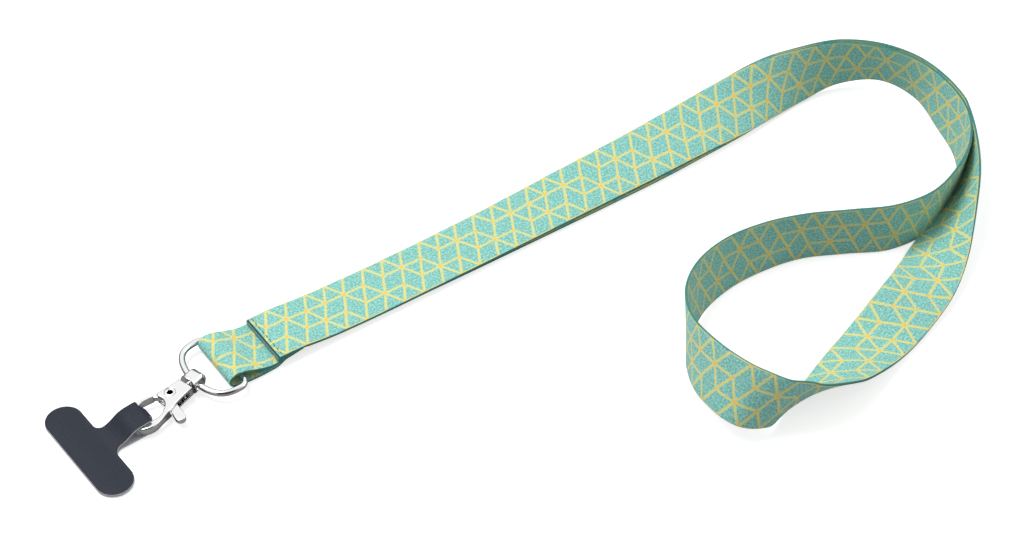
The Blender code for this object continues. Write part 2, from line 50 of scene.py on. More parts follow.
# Webbing: nearly the part's own path, at a finer step. A row of ROUTE is x and y from the hem, the
# tape's roll in degrees and the height of its lower edge; FLAP and RING_LOOP are x, y and height.
WIDTH = 20.0
THICK = 0.9
STEP = 1.0
FOLD_STEP = 0.4
LOOP_STEP = 0.35
EDGE_REACH = 0.35
EDGE_ROUND = 0.22
ROUTE = (
    (0, -0.6, 0, 3.4),
    (9, -0.6, 0, 3.25),
    (14, -0.6, 0.5, 2.65),
    (20, -0.6, 1, 2.0),
    (29, -0.6, 1, 1.65),
    (58, -0.6, 1, 1.6),
    (88, -0.3, 3, 1.6),
    (117, 0, 8, 1.7),
    (146, 0, 14, 1.9),
    (165, 0, 20, 2.2),
    (184, -0.2, 34, 1.5),
    (199, -0.5, 53, 0.6),
    (212.5, -2.5, 75, 0.5),
    (226, -7, 96, 2.5),
    (236, -16.5, 108, 4.5),
    (241, -30, 102, 4),
    (240, -44.5, 88, 2.5),
    (236, -58, 85, 1),
    (226.6, -69, 86, 0.2),
    (213.4, -75.7, 83, 0.1),
    (200.9, -79.6, 86, 0),
    (187.3, -78.2, 88, 0),
    (174, -71.5, 87, 0),
    (161, -65, 88, 0),
    (147, -61.5, 94, 0),
    (132.5, -61, 99, 0),
    (119, -65, 100, 0.8),
    (107, -74, 97, 2.4),
    (99, -85.5, 86, 4.6),
    (96, -99.5, 70, 6.8),
    (99, -112.5, 67, 6.3),
    (106.5, -117.5, 93, 2.5),
    (115, -117.5, 117, 0.2),
    (124, -116.3, 137, 0),
    (133, -114.2, 154, 0.1),
    (142, -111.5, 166, 0.4),
    (155.5, -107.5, 180, 1.3),
    (169, -103.8, 192, 1.2),
    (181, -99.4, 188, 2.6),
    (193, -92.8, 168, 1.6),
    (205, -85.6, 143, 0),
    (216.5, -78.8, 121, 0),
    (227.4, -72.4, 101, 0),
)
PLY_PITCH = 1.3
RETURN_FROM = 292.0
LOWER_SAG = 0.3
LOWER_SLIP = ((10, 1.1), (25, 1.1), (55, 1.1), (90, 0.5), (120, -0.2), (155, -0.5), (190, 0))
LOWER_END = 10.5
STRAIGHT_END = 190.0
JOIN_REACH = 14
JOIN_PASSES = 80
FLAP = (
    (9.0, 0.0, 2.75),
    (5.0, -0.1, 2.75),
    (1.6, -0.5, 2.76),
    (0.55, -0.6, 2.9),
    (0.2, -0.6, 3.35),
    (0.6, -0.6, 3.75),
)
RING_LOOP = (
    (9.5, 1.0, 1.65),
    (3, 0.1, 1.65),
    (-3, -0.6, 2.1),
    (-8, -0.6, 3.6),
    (-12, -0.6, 5.1),
    (-14.6, -0.6, 5.35),
    (-16.5, -0.6, 4.2),
    (-16.5, -0.6, 2.3),
    (-14.8, -0.6, 0.87),
    (-11.2, -0.6, 0.52),
    (-4, -0.6, 0.5),
    (0, -0.2, 0.5),
    (3, 0.9, 0.5),
    (9.3, 1.9, 0.48),
)
LOOP_Y = -0.6
STITCH_INSET = 1.6
STITCH_LENGTH = 1.5
STITCH_PITCH = 2.15
STITCH_COUNT = 9
STITCH_SLANT = 0.12
STITCH_DIP = 0.35
THREAD = 0.17

# D-ring
RING_WIRE = 1.0
RING_HALF = 12.1
RING_DEPTH = 12.1
RING_CORNER = 2.6
EYE_SLACK = 0.3
RING_BAR = (-13.3, -1.4, 3.3)
RING_YAW = 4.0

# Swivel eye and hook. CUT is how far a cutting tool runs past the metal.
CUT = 4
EYE_ON_BOW = -1.0
EYE_RISE = 0.2
EYE_OUTER = 2.8
EYE_HOLE = 1.7
EYE_HALF = 2.9
EYE_NECK = 2.0
FLARE = (1.3, 0, 2.2)
FLARE_MOUTH = 2.45
FLARE_FROM = 1.2
EYE_BALL = ((-3.2, 0), (-3.1, 1.2), (-2.6, 2.2), (-1.6, 2.95), (-0.4, 3.2), (2.05, 3.2), (2.05, 0))
EYE_BASE = ((1.9, 0), (1.9, 2.9), (2.05, 3.2), (2.3, 3.3), (2.7, 3.2), (2.7, 0))
EYE_POST = ((2.6, 0), (2.6, 1.1), (5.3, 1.1), (5.3, 1.5), (6.0, 1.5), (6.1, 1.2), (6.1, 0))
POST_BORE = 1.25
POST_HEAD_BORE = 1.65
HOOK_YAW = 17.0
HOOK_PITCH = 2.5
HOOK_HALF = 1.95
BOW_HALF = 1.5
TAPER = (13.0, 18.0)
HOOK_RIM = 0.6
COLLAR = (
    (3.0, 0),
    (3.0, 2.9),
    (3.1, 3.2),
    (3.4, 3.3),
    (3.75, 3.15),
    (4.3, 2.6),
    (5.2, 1.8),
    (5.2, 0),
)
SLOT = (5.0, 14.2)
SLOT_HALF = 1.05
RIVET_AT = (9.0, -1.2)
RIVET_SHANK = 1.2
RIVET_HEAD = 1.65
RIVET_HEAD_THICK = 0.3
RIVET_BORE = 0.9
RIVET_SIDES = 64
BOW_AT = (20.0, -1.4)
BOW_OUTER = 5.6
BOW_INNER = 3.4
NOSE_SPLIT = 4.6
NOSE_FULL = 170.0
NOSE_END = 186.0
GATE_HALF = 1.4
LEVER_HALF = 0.9
HUB_RADIUS = 2.6
HUB_HOLE = 1.32
POCKET_RADIUS = 2.15
POCKET_FLOOR = 0.05
LEG_WAY = 0.62
SPRING_RADIUS = 1.72
SPRING_WIRE = 0.13
SPRING_LOW = 0.27
SPRING_PITCH = 0.32
SPRING_TURNS = 1.5
SPRING_LEG = 2.4

# Tether tab
SHEET = 0.5
SHEET_RIM = 0.07
FILM_INSET = 0.8
BAR_LENGTH = 40.5
BAR_WIDTH = 11.4
STEM_WIDTH = 9.6
STEM_FILLET = 2.6
TAB_AT = (-57.4, -7.8)
TAB_YAW = 3.0
FOLD_REACH = 14.9
LAYER_LOW = 0.27
LAYER_BAR = 0.95
LAYER_TOP = 5.0
SHOULDER = 7.8
NOTCH_GATE = 3.5
NOTCH_SPINE = 2.8
NOTCH_HALF = 2.7
FOLD_CUT = 0.27

# Print on the webbing: a lattice of triangles, three rows across the width, one side in three left
# out of two of its three families of lines. Each piece of tape meets the print at its own place:
# the way it runs, the distance along and the distance across. Once in each REPEAT of columns, a
# line that would be left out is kept. FAR is a distance at which no line shows.
COLUMN = 7.1
ROW = WIDTH / 3
REPEAT = 12
FILLED_COLUMN = 3.0
FILLED_ROW = 1.0
FAR = 1000.0
LINE_HALF = 0.42
LINE_BLUR = 0.14
TWILL = (7.4, 6.2)
RIB = (7.4, -11.0)
STRAP_PRINT = (1, 2.4, 0.0)
LOOP_PRINT = (-1, 6.1, 2.5)

TEAL = (0.12, 0.43, 0.36)
TEAL_LIGHT = (0.38, 0.70, 0.65)
TEAL_DARK = (0.03, 0.17, 0.15)
TEAL_EDGE = (0.06, 0.24, 0.2)
# Painted shade at the hem: past HEM_EDGE along the tape, the rolled end takes the roll colour as painted
# shade, and the groove colour is a painted shadow line at the edge and further under the roll.
HEM_EDGE = -1.5
HEM_ROLL_SHADE = (0.09, 0.25, 0.25)
HEM_GROOVE_SHADOW = (0.012, 0.05, 0.035)
GOLD = (0.78, 0.68, 0.19)
GOLD_CROSSING = (0.88, 0.55, 0.08)

# Light: the even strength of the room and of its sides, the most and the least that metal sees of
# it, the floor's own glow and its shade to plain and to shiny pieces, and the way to a dark card
ROOM = 0.7
ROOM_SIDES = 0.22
REFLECTED = 1.05
DARKEST = 0.06
FLOOR_GLOW = 0.68
FLOOR_SHADE = 0.55
FLOOR_REFLECTED = 0.2
FLOOR_DROP = 0.0003
DARK_CARD = (-0.26, -0.64, 0.55)

# Camera: its place and its aim, from the hem
CAMERA_AT = (-198.2, -416.8, 472.4)
CAMERA_AIM = (82.4, -16.1, 0)
LENS = 75


# ------------------------------------------------------------------ shader helpers


class Nodes:
    """A material's node tree, with short ways to add the few kinds of node used here."""

    def __init__(self, name):
        self.material = bpy.data.materials.new(name)
        self.material.use_nodes = True
        self.tree = self.material.node_tree
        self.shader = self.tree.nodes["Principled BSDF"]

    def add(self, kind, inputs=(), **settings):
        node = self.tree.nodes.new(kind)
        for key, value in settings.items():
            setattr(node, key, value)
        for slot, value in inputs:
            self.feed(node.inputs[slot], value)
        return node

    def feed(self, socket, value):
        if isinstance(value, bpy.types.NodeSocket):
            self.tree.links.new(value, socket)
        else:
            socket.default_value = value

    def math(self, operation, a, b=0.0, c=0.0):
        node = self.add("ShaderNodeMath", ((0, a), (1, b), (2, c)), operation=operation)
        return node.outputs[0]

    def mix(self, factor, a, b):
        inputs = ((0, factor), (6, a), (7, b))
        return self.add("ShaderNodeMix", inputs, data_type="RGBA").outputs[2]

    def noise(self, vector, scale, detail=2.0):
        inputs = (("Vector", vector), ("Scale", scale), ("Detail", detail))
        return self.add("ShaderNodeTexNoise", inputs).outputs[0]

    def ramp(self, value, low, high):
        inputs = ((0, value), (1, low), (2, high), (3, 0.0), (4, 1.0))
        return self.add("ShaderNodeMapRange", inputs).outputs[0]

    def set(self, **values):
        for key, value in values.items():
            self.feed(self.shader.inputs[key.replace("_", " ")], value)


def rgba(colour):
    return (*colour, 1.0)


def webbing_material(name, way, phase, offset, hem=None):
    """Teal woven tape with a golden lattice printed on it. Where hem is given, the rolled end past it is
    painted in shade, with a painted shadow line at hem and painted shadow further under the roll.
    """
    n = Nodes(name)
    place = n.add("ShaderNodeUVMap", uv_map="weave").outputs[0]
    split = n.add("ShaderNodeSeparateXYZ", ((0, place),))
    along, across = split.outputs[0], split.outputs[1]
    drift = n.math("MULTIPLY", n.math("SUBTRACT", n.noise(place, 0.05, 1.0), 0.5), 1.4)
    s = n.math("ADD", n.math("MULTIPLY", along, way), n.math("ADD", drift, phase))
    w = n.math("ADD", n.math("ADD", across, offset), n.math("MULTIPLY", drift, 0.4))
    row = n.math("DIVIDE", w, ROW)
    column = n.math("ADD", n.math("DIVIDE", s, COLUMN), n.math("MULTIPLY", row, 0.5))
    skew = n.math("SUBTRACT", column, row)
    steep = COLUMN * ROW / (ROW * ROW + COLUMN * COLUMN / 4) ** 0.5

    def away(value, size):
        """Distance from the nearest whole number, in millimetres."""
        rest = n.math("SUBTRACT", value, n.math("ROUND", value))
        return n.math("MULTIPLY", n.math("ABSOLUTE", rest), size)

    def leaves(value, count, rest):
        """1 where the whole number leaves this rest when divided by the count, else 0."""
        return n.math("COMPARE", n.math("FLOORED_MODULO", value, count), rest, 0.1)

    level = n.math("ROUND", row)
    side = n.math("FLOOR", column)
    one_row = n.math("COMPARE", level, FILLED_ROW, 0.1)
    kept = n.math("MULTIPLY", leaves(side, REPEAT, FILLED_COLUMN), one_row)
    bare = n.math("SUBTRACT", leaves(n.math("ADD", side, level), 3.0, 1.0), kept)
    slant = n.math("ADD", n.math("ROUND", skew), n.math("MULTIPLY", n.math("FLOOR", row), 2.0))
    open_skew = leaves(slant, 3.0, 2.0)
    gaps = (0.0, n.math("MULTIPLY", bare, FAR), n.math("MULTIPLY", open_skew, FAR))

    yarn = n.math("MULTIPLY", n.math("SUBTRACT", n.noise(place, 3.2, 2.0), 0.5), 0.6)
    total = 0.0
    for (value, size), gap in zip(((column, steep), (row, ROW), (skew, steep)), gaps):
        distance = n.math("ADD", n.math("ADD", away(value, size), gap), yarn)
        line = n.ramp(distance, LINE_HALF + LINE_BLUR, LINE_HALF - LINE_BLUR)
        total = n.math("ADD", total, line)
    ink = n.math("MINIMUM", total, 1.0)
    crossing = n.ramp(total, 1.0, 1.8)

    waves = []
    for along_rate, across_rate in (TWILL, RIB):
        across_part = n.math("MULTIPLY", across, across_rate)
        wave = n.math("ADD", n.math("MULTIPLY", along, along_rate), across_part)
        waves.append(n.math("SINE", wave))
    weave = n.math("MULTIPLY", *waves)
    weave = n.math("ADD", n.math("MULTIPLY", weave, 0.5), 0.5)
    fleck = n.noise(place, 1.7, 4.0)
    base = n.mix(n.ramp(fleck, 0.38, 0.64), rgba(TEAL), rgba(TEAL_LIGHT))
    # The weave's low places are painted darker towards TEAL_DARK, on the teal and on the gold: painted
    # shade in the weave's hollows.
    pit_shade = n.math("MULTIPLY", n.ramp(weave, 0.5, 0.05), n.ramp(n.noise(place, 0.9, 2.0), 0.35, 0.65))
    base = n.mix(n.math("MULTIPLY", pit_shade, 0.75), base, rgba(TEAL_DARK))
    gold = n.mix(crossing, rgba(GOLD), rgba(GOLD_CROSSING))
    gold = n.mix(n.math("MULTIPLY", pit_shade, 0.35), gold, rgba(TEAL_DARK))
    colour = n.mix(n.math("MULTIPLY", ink, 0.86), base, gold)
    # Painted shade, not print: the rolled end past hem gets the roll shade colour, and a line at hem
    # plus the part further past it get the painted shadow colour.
    if hem is not None:
        colour = n.mix(n.ramp(along, hem + 0.1, hem - 0.1), colour, rgba(HEM_ROLL_SHADE))
        groove_shadow = n.ramp(n.math("ABSOLUTE", n.math("SUBTRACT", along, hem)), 0.26, 0.1)
        shadow_beneath = n.ramp(along, hem - 0.55, hem - 0.75)
        dark = n.math("MAXIMUM", groove_shadow, shadow_beneath)
        colour = n.mix(dark, colour, rgba(HEM_GROOVE_SHADOW))
    height = n.math("ADD", weave, n.math("MULTIPLY", fleck, 0.6))
    bump = n.add("ShaderNodeBump", (("Strength", 0.55), ("Distance", 0.00013), ("Height", height)))
    n.set(Base_Color=colour, Roughness=0.8, Normal=bump.outputs[0])
    n.feed(n.shader.inputs["Sheen Weight"], 0.12)
    n.feed(n.shader.inputs["Sheen Roughness"], 0.4)
    return n.material


def selvedge_material():
    """The tape's woven edges and cut ends: unprinted, darker, ribbed across."""
    n = Nodes("selvedge")
    place = n.add("ShaderNodeUVMap", uv_map="weave").outputs[0]
    along = n.add("ShaderNodeSeparateXYZ", ((0, place),)).outputs[0]
    rib = n.math("ADD", n.math("MULTIPLY", n.math("SINE", n.math("MULTIPLY", along, 9.0)), 0.5), 0.5)
    bump = n.add("ShaderNodeBump", (("Strength", 0.5), ("Distance", 0.0001), ("Height", rib)))
    colour = n.mix(rib, rgba(TEAL_DARK), rgba(TEAL_EDGE))
    n.set(Base_Color=colour, Roughness=0.85, Normal=bump.outputs[0])
    return n.material


def metal_material(name, colour, roughness, edge=0.12):
    """Bright metal whose sharp edges are slightly rounded to the light."""
    n = Nodes(name)
    rounded = n.add("ShaderNodeBevel", (("Radius", edge * MM),), samples=6)
    place = n.add("ShaderNodeTexCoord").outputs["Object"]
    ripple = n.noise(place, 260.0, 2.0)
    inputs = [("Strength", 0.05), ("Distance", 0.00008), ("Height", ripple)]
    inputs.append(("Normal", rounded.outputs[0]))
    bump = n.add("ShaderNodeBump", inputs)
    n.set(Base_Color=rgba(colour), Metallic=1.0, Roughness=roughness, Normal=bump.outputs[0])
    return n.material


def plain_material(name, colour, roughness, grain=0.0, light=None):
    n = Nodes(name)
    if grain:
        place = n.add("ShaderNodeTexCoord").outputs["Object"]
        speck = n.noise(place, 2600.0, 3.0)
        patch = n.ramp(speck, 0.3, 0.75)
        n.set(Base_Color=n.mix(patch, rgba(colour), rgba(light)))
        bump = n.add("ShaderNodeBump", (("Strength", grain), ("Distance", 0.00008), ("Height", speck)))
        n.set(Normal=bump.outputs[0])
    else:
        n.set(Base_Color=rgba(colour))
    n.set(Roughness=roughness)
    return n.material


STRAP_LOOK = webbing_material("webbing print", *STRAP_PRINT, HEM_EDGE)
LOOP_LOOK = webbing_material("ring loop print", *LOOP_PRINT)
SELVEDGE = selvedge_material()
CHROME = metal_material("chrome", (0.87, 0.86, 0.865), 0.05)
# The rivet's bore is painted near black: painted shade of its hollow.
BORE_SHADE = metal_material("rivet bore", (0.05, 0.045, 0.04), 0.4)
WIRE_LOOK = metal_material("spring wire", (0.5, 0.5, 0.5), 0.3, 0.02)
THREAD_LOOK = plain_material("thread", (0.07, 0.14, 0.05), 0.7, 0.3, (0.2, 0.25, 0.08))
TAB_LOOK = plain_material("tab face", (0.009, 0.0125, 0.022), 0.62, 0.3, (0.022, 0.027, 0.041))
TAB_BACK = plain_material("tab back", (0.52, 0.53, 0.57), 0.55)
FILM_LOOK = plain_material("bond film", (0.6, 0.6, 0.58), 0.4)
TAB_LOOK.node_tree.nodes["Principled BSDF"].inputs["Specular IOR Level"].default_value = 0.22


# ------------------------------------------------------------------ shape helpers


def show(name, mesh, looks, body, nodes, matrix=None):
    """A visible piece that stands for CAD nodes and moves with their body."""
    made = bpy.data.objects.new(name, mesh)
    bpy.context.scene.collection.objects.link(made)
    for slot_number, look in enumerate(looks):
        if slot_number < len(mesh.materials):
            mesh.materials[slot_number] = look
        else:
            mesh.materials.append(look)
    made.matrix_world = matrix or Matrix.Identity(4)
    mesh.shade_smooth()
    mesh.set_sharp_from_angle(angle=radians(40))
    if looks[0] == CHROME:
        normals = made.modifiers.new("normals", "WEIGHTED_NORMAL")
        normals.keep_sharp = True
        normals.weight = 100
    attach(made, body)
    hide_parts(*nodes)
    return made


def combine(mesh, *steps):
    """A mesh with others cut out of it or joined on, in order."""
    base = bpy.data.objects.new("base", mesh)
    bpy.context.scene.collection.objects.link(base)
    tools = []
    for operation, tool in steps:
        cutter = bpy.data.objects.new("tool", tool)
        bpy.context.scene.collection.objects.link(cutter)
        step = base.modifiers.new("step", "BOOLEAN")
        step.operation = operation
        step.solver = "EXACT"
        step.object = cutter
        tools.append(cutter)
    bpy.context.view_layer.update()
    made = bpy.data.meshes.new_from_object(base.evaluated_get(bpy.context.evaluated_depsgraph_get()))
    for thing in [base, *tools]:
        bpy.data.objects.remove(thing)
    return made


def to_mesh(body):
    mesh = bpy.data.meshes.new("shape")
    body.to_mesh(mesh)
    body.free()
    return mesh


def curve_mesh(curve):
    holder = bpy.data.objects.new("holder", curve)
    bpy.context.scene.collection.objects.link(holder)
    bpy.context.view_layer.update()
    shape = holder.evaluated_get(bpy.context.evaluated_depsgraph_get())
    mesh = bpy.data.meshes.new_from_object(shape)
    bpy.data.objects.remove(holder)
    body = bmesh.new()
    body.from_mesh(mesh)
    bmesh.ops.remove_doubles(body, verts=body.verts, dist=0.001 * MM)
    bmesh.ops.recalc_face_normals(body, faces=body.faces)
    body.to_mesh(mesh)
    body.free()
    return mesh


def add_spline(curve, points, cyclic):
    spline = curve.splines.new("POLY")
    spline.points.add(len(points) - 1)
    for point, (x, y, z) in zip(spline.points, points):
        point.co = (x * MM, y * MM, z * MM, 1)
    spline.use_cyclic_u = cyclic


def plate(points, half, soften=0.0, rounds=3):
    """A flat outline as a solid, half its thickness to each side of local Z = 0, its rims rounded."""
    curve = bpy.data.curves.new("outline", "CURVE")
    curve.dimensions = "2D"
    curve.fill_mode = "BOTH"
    curve.extrude = (half - soften) * MM
    curve.bevel_depth = soften * MM
    curve.bevel_resolution = rounds
    curve.offset = -soften * MM
    add_spline(curve, [(u, v, 0) for u, v in points], True)
    return curve_mesh(curve)


def wire(points, radius, cyclic=False, sides=6):
    curve = bpy.data.curves.new("wire", "CURVE")
    curve.dimensions = "3D"
    curve.bevel_depth = radius * MM
    curve.bevel_resolution = sides
    curve.use_fill_caps = not cyclic
    add_spline(curve, points, cyclic)
    return curve_mesh(curve)


def rod(radius, start, end, axis="X", top=None, at=(0, 0, 0)):
    """A rod along an axis from start to end, a cone where top gives its other radius."""
    body = bmesh.new()
    bmesh.ops.create_cone(
        body,
        cap_ends=True,
        segments=ROUND_SIDES,
        radius1=radius * MM,
        radius2=(radius if top is None else top) * MM,
        depth=(end - start) * MM,
    )
    bmesh.ops.translate(body, vec=(0, 0, (start + end) / 2 * MM), verts=body.verts)
    turns = {
        "X": Matrix.Rotation(pi / 2, 4, "Y"),
        "Y": Matrix.Rotation(-pi / 2, 4, "X"),
        "Z": Matrix.Identity(4),
    }
    move = Matrix.Translation(Vector(at) * MM) @ turns[axis]
    bmesh.ops.transform(body, matrix=move, verts=body.verts)
    return to_mesh(body)


def circle(radius, height, sides):
    angles = [2 * pi * k / sides for k in range(sides)]
    return [(radius * cos(a) * MM, radius * sin(a) * MM, height * MM) for a in angles]


def turned(profile):
    """A solid turned about X: (distance along the axis, radius) from end to end."""
    body = bmesh.new()
    rings = []
    for along, radius in profile:
        if radius == 0:
            rings.append([body.verts.new((0, 0, along * MM))])
            continue
        rings.append([body.verts.new(spot) for spot in circle(radius, along, ROUND_SIDES)])
    for first, second in zip(rings, rings[1:]):
        for k in range(ROUND_SIDES):
            nxt = (k + 1) % ROUND_SIDES
            if len(first) == 1:
                body.faces.new((first[0], second[nxt], second[k]))
            elif len(second) == 1:
                body.faces.new((first[k], first[nxt], second[0]))
            else:
                body.faces.new((first[k], first[nxt], second[nxt], second[k]))
    bmesh.ops.recalc_face_normals(body, faces=body.faces)
    bmesh.ops.transform(body, matrix=Matrix.Rotation(pi / 2, 4, "Y"), verts=body.verts)
    return to_mesh(body)


def box(low, high):
    body = bmesh.new()
    bmesh.ops.create_cube(body, size=1.0)
    bmesh.ops.scale(body, vec=[(b - a) * MM for a, b in zip(low, high)], verts=body.verts)
    bmesh.ops.translate(body, vec=[(a + b) / 2 * MM for a, b in zip(low, high)], verts=body.verts)
    return to_mesh(body)


def arc(centre, radius, start, end, steps):
    angles = [radians(start + (end - start) * k / steps) for k in range(steps + 1)]
    return [(centre[0] + radius * sin(a), centre[1] + radius * cos(a)) for a in angles]


def rounded(points, times=2):
    """A closed outline with its corners cut again and again until they are round."""
    ring = np.array(points, float)
    for _ in range(times):
        nxt = np.roll(ring, -1, axis=0)
        ring = np.stack([0.75 * ring + 0.25 * nxt, 0.25 * ring + 0.75 * nxt], axis=1).reshape(-1, 2)
    return [tuple(p) for p in ring]


def hem_frame(x, y, z):
    return Matrix.Translation(Vector((x + HEM_AT[0], y + HEM_AT[1], z)) * MM)


def resample(rows, step):
    rows = np.array(rows, float)
    along = np.concatenate([[0], np.cumsum(np.linalg.norm(np.diff(rows[:, :3], axis=0), axis=1))])
    slope = np.gradient(rows, along, axis=0)
    made = []
    for s in np.linspace(0, along[-1], round(along[-1] / step) + 1):
        k = min(int(np.searchsorted(along, s, side="right")) - 1, len(along) - 2)
        h = along[k + 1] - along[k]
        t = (s - along[k]) / h
        ends = (2 * t**3 - 3 * t**2 + 1) * rows[k] + (3 * t**2 - 2 * t**3) * rows[k + 1]
        slopes = (t**3 - 2 * t**2 + t) * slope[k] + (t**3 - t**2) * slope[k + 1]
        made.append(ends + h * slopes)
    return np.array(made)


def unit(vectors):
    return vectors / np.linalg.norm(vectors, axis=1)[:, None]


# ------------------------------------------------------------------ webbing


def upper_stations():
    rows = []
    for x, y, roll, lift in ROUTE:
        turn = radians(roll)
        height = lift + WIDTH / 2 * abs(sin(turn)) + THICK / 2 * abs(cos(turn))
        rows.append((x, y, height, roll))
    path = resample(rows, STEP)
    centre = path[:, :3]
    ahead = unit(np.gradient(centre, axis=0))
    side = unit(np.cross((0, 0, 1), ahead))
    turn = np.radians(path[:, 3])[:, None]
    across = np.cos(turn) * side + np.sin(turn) * np.cross(ahead, side)
    return centre, across, np.cross(ahead, across)


def webbing_path():
    """Stations of the strap from the tip of its folded hem, round the loop, to its lower end."""
    centre, across, normal = upper_stations()
    rows = [(x, y, z, 0, 1, 0) for x, y, z in FLAP]
    rows = [tuple(row) for row in resample(rows, FOLD_STEP)]
    rows += [(*c, *w) for c, w in zip(centre[2:], across[2:])]
    hem = len(rows) - len(centre) + 2
    join = len(rows)
    last = round(RETURN_FROM / STEP)
    for k in range(last, -1, -1):
        if centre[k][0] < LOWER_END:
            break
        share = 0.0
        if k * STEP < STRAIGHT_END:
            share = sin(pi * k * STEP / STRAIGHT_END)
        drop = (PLY_PITCH + LOWER_SAG * share) * normal[k]
        slip = np.interp(k * STEP, *zip(*LOWER_SLIP)) * across[k]
        rows.append((*(centre[k] - drop + slip), *across[k]))
    path = np.array(rows)
    near = slice(join - JOIN_REACH, join + JOIN_REACH)
    for _ in range(JOIN_PASSES):
        path[near] = (np.roll(path, 1, axis=0) + 2 * path + np.roll(path, -1, axis=0))[near] / 4
    centre, across = path[:, :3], unit(path[:, 3:])
    upright = np.abs(across[:, 2])
    lowest = WIDTH / 2 * upright + THICK / 2 * np.sqrt(1 - upright**2)
    centre[:, 2] = np.maximum(centre[:, 2], lowest + 0.02)
    return centre, across, hem


def section():
    """The tape's cross-section: distance across and height, once round, its selvedges rounded."""
    flat = WIDTH / 2 - EDGE_REACH
    tip = flat + EDGE_REACH
    turn = flat + EDGE_ROUND
    half = THICK / 2
    top = [(x, half) for x in np.linspace(flat, -flat, 9)]
    left = [(-turn, half * 0.86), (-tip, half * 0.4), (-tip, -half * 0.4), (-turn, -half * 0.86)]
    under = [(x, -half) for x in np.linspace(-flat, flat, 9)]
    right = [(-x, -z) for x, z in left]
    return top + left + under + right


def tape(centre, across, start=0.0):
    """A solid tape along a path, with its length and width in millimetres in the map "weave"."""
    profile = section()
    ahead = unit(np.gradient(centre, axis=0))
    normal = unit(np.cross(ahead, across))
    along = start + np.concatenate([[0], np.cumsum(np.linalg.norm(np.diff(centre, axis=0), axis=1))])
    shift = np.array((HEM_AT[0], HEM_AT[1], 0))
    body = bmesh.new()
    layer = body.loops.layers.uv.new("weave")
    rings = []
    for c, w, up in zip(centre + shift, across, normal):
        rings.append([body.verts.new((c + x * w + z * up) * MM) for x, z in profile])
    count = len(profile)
    for k in range(len(rings) - 1):
        for j in range(count):
            nxt = (j + 1) % count
            face = body.faces.new((rings[k][j], rings[k][nxt], rings[k + 1][nxt], rings[k + 1][j]))
            face.material_index = 0 if abs(profile[j][1] + profile[nxt][1]) > THICK * 0.9 else 1
            for loop, (i, m) in zip(face.loops, ((k, j), (k, nxt), (k + 1, nxt), (k + 1, j))):
                loop[layer].uv = (along[i], WIDTH / 2 - profile[m][0])
    for k, order in ((0, 1), (-1, -1)):
        face = body.faces.new(rings[k][::order])
        face.material_index = 1
        for loop in face.loops:
            loop[layer].uv = (along[k], 2.0)
    bmesh.ops.recalc_face_normals(body, faces=body.faces)
    return to_mesh(body), float(along[-1] - along[0])


def make_webbing():
    centre, across, hem = webbing_path()
    lengths = np.linalg.norm(np.diff(centre[: hem + 1], axis=0), axis=1)
    mesh, length = tape(centre, across, -float(lengths.sum()))
    nodes = [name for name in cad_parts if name.startswith("webbing") and "ring_loop" not in name]
    strap = show("strap_webbing", mesh, [STRAP_LOOK, SELVEDGE], "strap", nodes)
    loop = resample(RING_LOOP, LOOP_STEP)
    mesh, length = tape(loop, np.tile((0.0, 1.0, 0.0), (len(loop), 1)))
    looks = [LOOP_LOOK, SELVEDGE]
    ring_loop = show("ring_loop_webbing", mesh, looks, "strap", ["webbing_ring_loop"])


def make_stitches():
    height = ROUTE[0][3] + THICK + THREAD * 0.45
    body = bmesh.new()
    for k in range(STITCH_COUNT):
        middle = (k - (STITCH_COUNT - 1) / 2) * STITCH_PITCH
        points = []
        for way in np.linspace(-0.5, 0.5, 7):
            dip = -STITCH_DIP * abs(2 * way) ** 3
            points.append((STITCH_SLANT * way, middle + way * STITCH_LENGTH, dip))
        body.from_mesh(wire(points, THREAD, sides=2))
    at = hem_frame(STITCH_INSET, LOOP_Y, height)
    show("hem_stitches", to_mesh(body), [THREAD_LOOK], "strap", ["hem_stitching"], at)


# ------------------------------------------------------------------ hardware


def ring_outline(turn):
    x = RING_CORNER + (RING_DEPTH - RING_CORNER) * abs(cos(turn)) ** 0.65
    return x, RING_HALF * sin(turn)


def ring_frame():
    return hem_frame(*RING_BAR) @ Matrix.Rotation(pi + radians(RING_YAW), 4, "Z")


def make_d_ring():
    corner = RING_HALF - RING_CORNER
    bends = [pi / 2 * k / 8 for k in range(8)]
    points = [(0, corner * k / 6) for k in range(-5, 6)]
    points += [(RING_CORNER - RING_CORNER * cos(a), corner + RING_CORNER * sin(a)) for a in bends]
    points += [ring_outline(pi / 2 - pi * k / 90) for k in range(91)]
    points += [(RING_CORNER - RING_CORNER * cos(a), -corner - RING_CORNER * sin(a)) for a in bends[::-1]]
    smooth = rounded(points, 2)
    mesh = wire([(x, y, 0) for x, y in smooth], RING_WIRE, cyclic=True, sides=8)
    show("d_ring_wire", mesh, [CHROME], "ring", ["d_ring"], ring_frame())


def hook_frame():
    at = ring_frame() @ (Vector((RING_DEPTH - EYE_SLACK, -EYE_ON_BOW, EYE_RISE)) * MM)
    turn = Matrix.Rotation(pi + radians(HOOK_YAW), 4, "Z") @ Matrix.Rotation(radians(HOOK_PITCH), 4, "Y")
    return Matrix.Translation(at) @ turn


